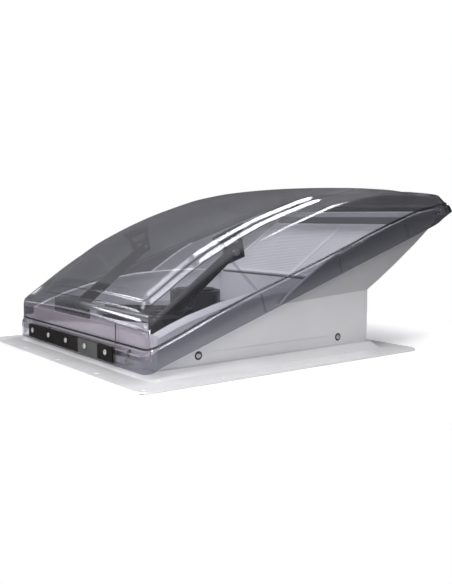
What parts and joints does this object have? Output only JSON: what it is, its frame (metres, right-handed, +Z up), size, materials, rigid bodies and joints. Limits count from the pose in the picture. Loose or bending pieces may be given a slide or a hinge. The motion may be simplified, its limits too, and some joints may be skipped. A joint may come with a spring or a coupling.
{
  "type": "roof vent cover",
  "caption": "Square-flanged powered roof vent for a caravan, with a front-hinged smoked dome lid shown open, swinging white rain shield, fan, lift arms and keypad",
  "frame": {"origin": "centre of the flange's underside, on the roof surface, midway between the corner screw holes", "axes": "+Z up out of the roof, +Y from the hinge end to the raised end of the lid, +X across the width; lid fully open at rest"},
  "size_m": [0.483, 0.6104, 0.2468],
  "materials": {
    "white_flange": "moulded white plastic, lightly weathered",
    "white_housing": "moulded white plastic",
    "white_shield": "moulded white plastic",
    "smoked_dome": "polished smoked polycarbonate, see-through",
    "black_plastic": "moulded black nylon",
    "grey_plastic": "moulded grey plastic",
    "motor_paint": "satin black motor can",
    "steel": "stainless screws and zinc-plated pins",
    "white_rail": "white powder-coated steel",
    "foam": "closed-cell foam",
    "cable_sheath": "black flexible sheath",
    "screen_wire": "woven screen, shown as a coarse grid"
  },
  "bodies": {
    "base": {"mounting_flange": "white_flange", "base_housing": "white_housing", "housing_screws": "steel", "fan_shroud": "white_housing", "deck_gasket": "foam", "shroud_screws": "steel", "motor_bracket": "black_plastic", "bracket_screws": "steel", "motor_can": "motor_paint", "motor_screws": "steel", "motor_cable": "cable_sheath", "ceiling_plate": "white_housing", "trim_screws": "steel", "screen_frame": "white_housing", "insect_screen": "screen_wire", "control_box": "black_plastic", "keypad_bezel": "black_plastic", "gear_housing": "black_plastic", "far_bearing": "black_plastic", "hinge_rail": "white_rail", "rail_screws": "steel", "hinge_pin": "steel"},
    "lid": {"lid_dome": "smoked_dome", "rear_cap": "black_plastic", "hinge_bar_long": "black_plastic", "hinge_bar_tab": "grey_plastic", "hinge_bar_short": "black_plastic", "hinge_screws": "steel", "lift_track_near": "black_plastic", "lift_track_far": "black_plastic", "pivot_rivets": "steel"},
    "rain_shield": {"shield_side_near": "white_shield", "shield_side_far": "white_shield", "shield_frame": "white_shield", "shield_mesh": "white_shield", "shield_header": "white_shield"},
    "lift_frame": {"cross_shaft": "steel", "lift_arm_near": "black_plastic", "lift_arm_far": "black_plastic", "arm_rollers": "steel"},
    "fan": {"motor_shaft": "steel", "fan_rotor": "black_plastic", "hub_nut": "steel"},
    "knob": {"lift_knob": "grey_plastic"},
    "power_key": {"button_power": "grey_plastic"},
    "mode_key": {"button_mode": "grey_plastic"},
    "faster_key": {"button_faster": "grey_plastic"},
    "slower_key": {"button_slower": "grey_plastic"}
  },
  "joints": [
    {"name": "lid_hinge", "type": "hinge", "parent": "base", "child": "lid", "pos_m": [0, -0.197, 0.017], "axis": [1, 0, 0], "range_deg": [-18.1, 0]},
    {"name": "shield_swing", "type": "hinge", "parent": "lid", "child": "rain_shield", "pos_m": [0, 0.33802, 0.20805], "axis": [1, 0, 0], "range_deg": [-13.75, 0]},
    {"name": "arm_swing", "type": "hinge", "parent": "base", "child": "lift_frame", "pos_m": [0, -0.137, 0.062], "axis": [1, 0, 0], "range_deg": [-26.3, 0]},
    {"name": "knob_turn", "type": "hinge", "parent": "base", "child": "knob", "pos_m": [0.143, -0.146, 0.008], "axis": [0, 0, 1], "range_deg": [-365, 0]},
    {"name": "fan_spin", "type": "hinge", "parent": "base", "child": "fan", "pos_m": [0, 0, 0.035], "axis": [0, 0, 1], "continuous": true},
    {"name": "press_power", "type": "slide", "parent": "base", "child": "power_key", "axis": [0, 0, 1], "range_m": [0, 0.0012], "stiffness_N_per_m": 600, "springref_m": -0.0005},
    {"name": "press_mode", "type": "slide", "parent": "base", "child": "mode_key", "axis": [0, 0, 1], "range_m": [0, 0.0012], "stiffness_N_per_m": 600, "springref_m": -0.0005},
    {"name": "press_faster", "type": "slide", "parent": "base", "child": "faster_key", "axis": [0, 0, 1], "range_m": [0, 0.0012], "stiffness_N_per_m": 600, "springref_m": -0.0005},
    {"name": "press_slower", "type": "slide", "parent": "base", "child": "slower_key", "axis": [0, 0, 1], "range_m": [0, 0.0012], "stiffness_N_per_m": 600, "springref_m": -0.0005}
  ],
  "couplings": [
    {"joint": "shield_swing", "follows": "lid_hinge", "ratio": 0.757},
    {"joint": "arm_swing", "follows": "lid_hinge", "ratio": 1.45},
    {"joint": "knob_turn", "follows": "lid_hinge", "ratio": 20}
  ]
}
